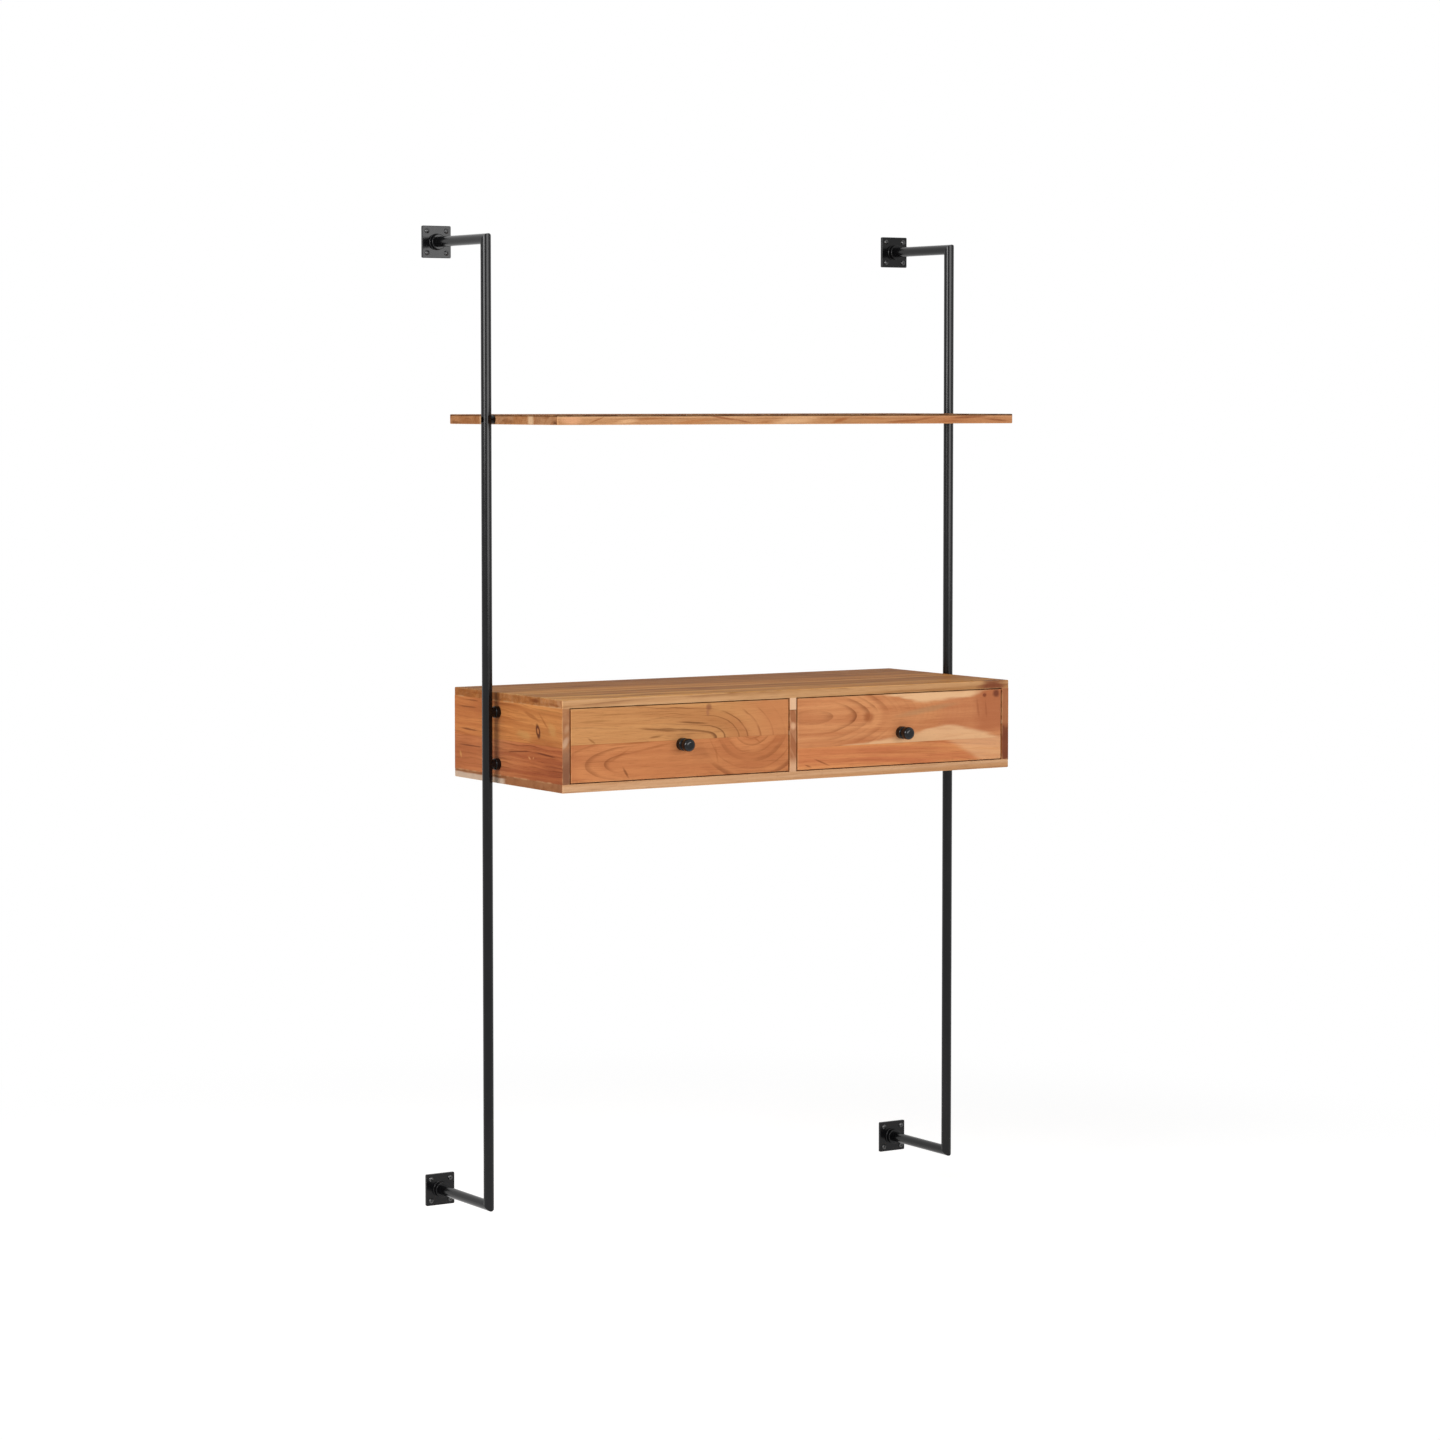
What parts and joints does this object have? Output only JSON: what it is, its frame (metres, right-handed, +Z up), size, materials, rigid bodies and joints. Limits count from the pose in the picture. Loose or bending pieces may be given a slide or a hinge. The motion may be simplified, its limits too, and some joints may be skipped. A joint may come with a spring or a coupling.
{
  "type": "floating wall desk",
  "caption": "Narrow wooden writing desk with drawers and a shelf above, hung between slim black tube uprights that are fixed to a wall by square flanges.",
  "frame": {"origin": "on the face of the wall, midway between the four flanges; the desk's top is 50 mm above it", "axes": "+X to the right seen from the front, +Y into the wall, +Z up"},
  "size_m": [0.914, 0.382, 1.534],
  "materials": {
    "acacia": "oiled, open grain",
    "drawer_wood": "planed, unfinished",
    "thin_panel": "sanded",
    "dowel_wood": "plain",
    "black_steel": "satin black",
    "black_iron": "black, soft gloss",
    "zinc_steel": "zinc plated",
    "brass": "plain"
  },
  "bodies": {
    "wall_frame": {"carcass_dowels": "dowel_wood", "desk_back_panel": "thin_panel", "desk_bolts": "zinc_steel", "desk_bottom": "acacia", "desk_divider": "acacia", "desk_left_side": "acacia", "desk_right_side": "acacia", "desk_top": "acacia", "desk_washers": "zinc_steel", "left_bay_inner_runner": "drawer_wood", "left_bay_outer_runner": "drawer_wood", "left_bottom_arm": "black_steel", "left_bottom_wall_flange": "black_steel", "left_desk_standoffs": "black_steel", "left_shelf_spacer": "black_steel", "left_top_arm": "black_steel", "left_top_wall_flange": "black_steel", "left_upright_tube": "black_steel", "right_bay_inner_runner": "drawer_wood", "right_bay_outer_runner": "drawer_wood", "right_bottom_arm": "black_steel", "right_bottom_wall_flange": "black_steel", "right_desk_standoffs": "black_steel", "right_shelf_spacer": "black_steel", "right_top_arm": "black_steel", "right_top_wall_flange": "black_steel", "right_upright_tube": "black_steel", "runner_screws": "zinc_steel", "shelf_bolts": "zinc_steel", "shelf_inserts": "brass", "wall_shelf": "acacia"},
    "left_drawer": {"left_drawer_back": "drawer_wood", "left_drawer_bottom": "thin_panel", "left_drawer_dowels": "dowel_wood", "left_drawer_front": "acacia", "left_drawer_knob": "black_iron", "left_drawer_left_side": "drawer_wood", "left_drawer_right_side": "drawer_wood", "left_knob_screw": "zinc_steel"},
    "right_drawer": {"right_drawer_back": "drawer_wood", "right_drawer_bottom": "thin_panel", "right_drawer_dowels": "dowel_wood", "right_drawer_front": "acacia", "right_drawer_knob": "black_iron", "right_drawer_left_side": "drawer_wood", "right_drawer_right_side": "drawer_wood", "right_knob_screw": "zinc_steel"}
  },
  "joints": [
    {"name": "left_drawer_slide", "type": "slide", "parent": "wall_frame", "child": "left_drawer", "axis": [0, -1, 0], "range_m": [0, 0.2]},
    {"name": "right_drawer_slide", "type": "slide", "parent": "wall_frame", "child": "right_drawer", "axis": [0, -1, 0], "range_m": [0, 0.2]}
  ]
}
